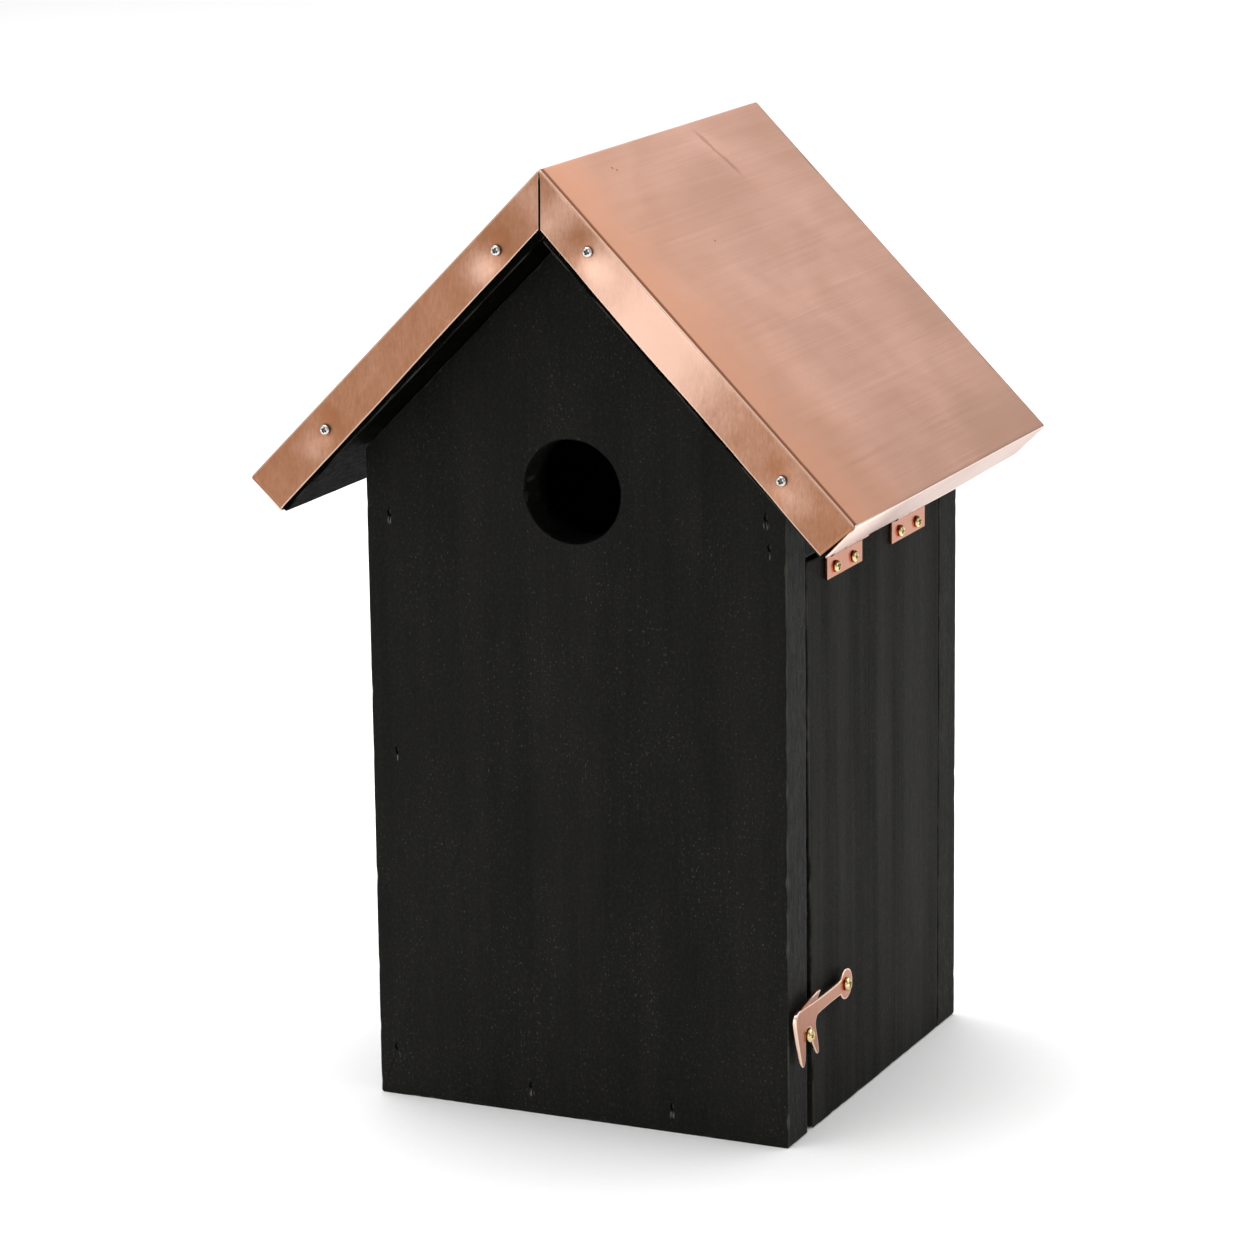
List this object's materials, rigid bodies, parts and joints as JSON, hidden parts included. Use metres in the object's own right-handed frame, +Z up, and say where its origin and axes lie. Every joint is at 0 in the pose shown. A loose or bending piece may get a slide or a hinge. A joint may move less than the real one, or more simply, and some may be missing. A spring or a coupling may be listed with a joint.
{
  "type": "birdhouse",
  "caption": "Gabled timber nest box with a round entrance, a folded copper roof and a top-hung side door held shut by a swing hook.",
  "frame": {"origin": "middle of the underside of the body, on the plane that it stands on", "axes": "+Z up, -Y out of the front with the entrance hole, +X out of the side with the door"},
  "size_m": [0.1998, 0.1655, 0.3007],
  "materials": {
    "stained_wood": "near-black matte stain over fine vertical grain",
    "copper": "satin brushed copper, darker at the turned-down edges",
    "brass": "bright brass",
    "zinc_steel": "bright zinc plate"
  },
  "bodies": {
    "house": {"back_brad_1": "zinc_steel", "back_brad_2": "zinc_steel", "back_brad_3": "zinc_steel", "back_brad_4": "zinc_steel", "back_brad_5": "zinc_steel", "back_brad_6": "zinc_steel", "back_brad_7": "zinc_steel", "back_panel": "stained_wood", "door_top_rail": "stained_wood", "floor_panel": "stained_wood", "front_brad_1": "zinc_steel", "front_brad_2": "zinc_steel", "front_brad_3": "zinc_steel", "front_brad_4": "zinc_steel", "front_brad_5": "zinc_steel", "front_brad_6": "zinc_steel", "front_brad_7": "zinc_steel", "front_panel": "stained_wood", "hinge_front_fixed_leaf": "copper", "hinge_front_fixed_screw_1": "brass", "hinge_front_fixed_screw_2": "brass", "hinge_front_pin": "copper", "hinge_rear_fixed_leaf": "copper", "hinge_rear_fixed_screw_1": "brass", "hinge_rear_fixed_screw_2": "brass", "hinge_rear_pin": "copper", "latch_catch_screw": "brass", "left_side_panel": "stained_wood", "roof_board_left": "stained_wood", "roof_board_right": "stained_wood", "roof_brad_1": "zinc_steel", "roof_brad_2": "zinc_steel", "roof_brad_3": "zinc_steel", "roof_brad_4": "zinc_steel", "roof_brad_5": "zinc_steel", "roof_brad_6": "zinc_steel", "roof_brad_7": "zinc_steel", "roof_brad_8": "zinc_steel", "roof_copper_sheet": "copper", "roof_front_left_screw_1": "zinc_steel", "roof_front_left_screw_2": "zinc_steel", "roof_front_right_screw_1": "zinc_steel", "roof_front_right_screw_2": "zinc_steel", "roof_rear_left_screw_1": "zinc_steel", "roof_rear_left_screw_2": "zinc_steel", "roof_rear_right_screw_1": "zinc_steel", "roof_rear_right_screw_2": "zinc_steel"},
    "door": {"door_panel": "stained_wood", "hinge_front_door_leaf": "copper", "hinge_front_door_screw_1": "brass", "hinge_front_door_screw_2": "brass", "hinge_rear_door_leaf": "copper", "hinge_rear_door_screw_1": "brass", "hinge_rear_door_screw_2": "brass", "latch_pivot_screw": "brass"},
    "latch": {"latch_hook": "copper"}
  },
  "joints": [
    {"name": "door_hinge", "type": "hinge", "parent": "house", "child": "door", "pos_m": [0.0719, 0, 0.1812], "axis": [0, -1, 0], "range_deg": [0, 105]},
    {"name": "latch_swing", "type": "hinge", "parent": "door", "child": "latch", "pos_m": [0.0717, -0.03115, 0.0414], "axis": [-1, 0, 0], "range_deg": [0, 110]}
  ]
}
